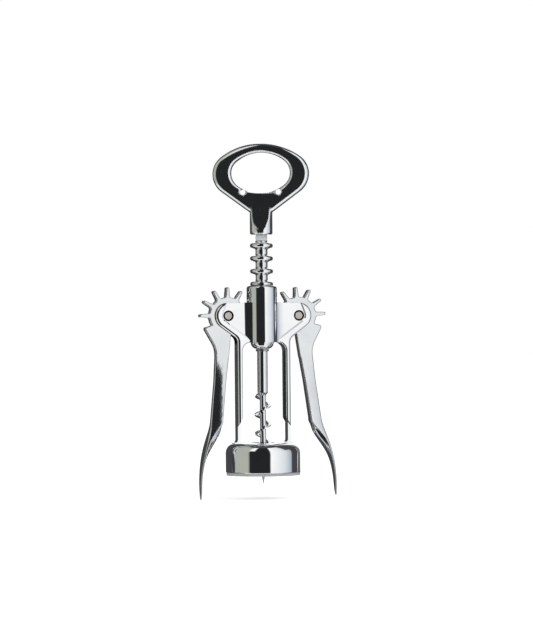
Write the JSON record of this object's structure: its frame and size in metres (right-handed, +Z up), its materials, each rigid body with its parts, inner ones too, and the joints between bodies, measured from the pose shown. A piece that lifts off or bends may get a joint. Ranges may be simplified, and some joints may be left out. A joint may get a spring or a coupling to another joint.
{
  "type": "wing corkscrew",
  "caption": "Wing corkscrew: geared side levers lift a ring rack that carries a turning worm, with a bottle-neck bell below and an oval crown-cap opener handle above.",
  "frame": {"origin": "on the worm's axis, in the plane inside the bell where the lip of the bottle seats", "axes": "+Z up the worm's axis towards the handle, X across the two levers, -Y the front; at rest the handle's ring stands turned 22 degrees clockwise from above"},
  "size_m": [0.0752, 0.04, 0.1882],
  "materials": {
    "chrome_cast": "bright plated zinc casting",
    "chrome_steel": "bright plated steel",
    "pin_steel": "satin, slightly warm",
    "washer_steel": "satin",
    "bush_plastic": "pale grey, matt",
    "liner_plastic": "mid grey, matt"
  },
  "bodies": {
    "frame": {"frame": "chrome_cast", "bell_liner": "liner_plastic", "pivot_pin_left": "pin_steel", "pivot_pin_right": "pin_steel"},
    "lever_left": {"lever_left": "chrome_cast"},
    "lever_right": {"lever_right": "chrome_cast"},
    "rack": {"rack_sleeve": "chrome_steel"},
    "screw": {"handle": "chrome_cast", "worm": "chrome_steel", "upper_bush": "bush_plastic", "lower_washer": "washer_steel"}
  },
  "joints": [
    {"name": "lever_left_hinge", "type": "hinge", "parent": "frame", "child": "lever_left", "pos_m": [-0.0193, 0, 0.0697], "axis": [0, 1, 0], "range_deg": [-2, 147]},
    {"name": "lever_right_hinge", "type": "hinge", "parent": "frame", "child": "lever_right", "pos_m": [0.0193, 0, 0.0697], "axis": [0, -1, 0], "range_deg": [-2, 147]},
    {"name": "rack_slide", "type": "slide", "parent": "frame", "child": "rack", "axis": [0, 0, 1], "range_m": [-0.0334, 0.0005]},
    {"name": "screw_turn", "type": "hinge", "parent": "rack", "child": "screw", "pos_m": [0, 0, 0.08], "axis": [0, 0, 1], "continuous": true}
  ],
  "couplings": [
    {"joint": "lever_right_hinge", "follows": "lever_left_hinge", "ratio": 1},
    {"joint": "rack_slide", "follows": "lever_left_hinge", "m_per_rad": -0.012987}
  ]
}
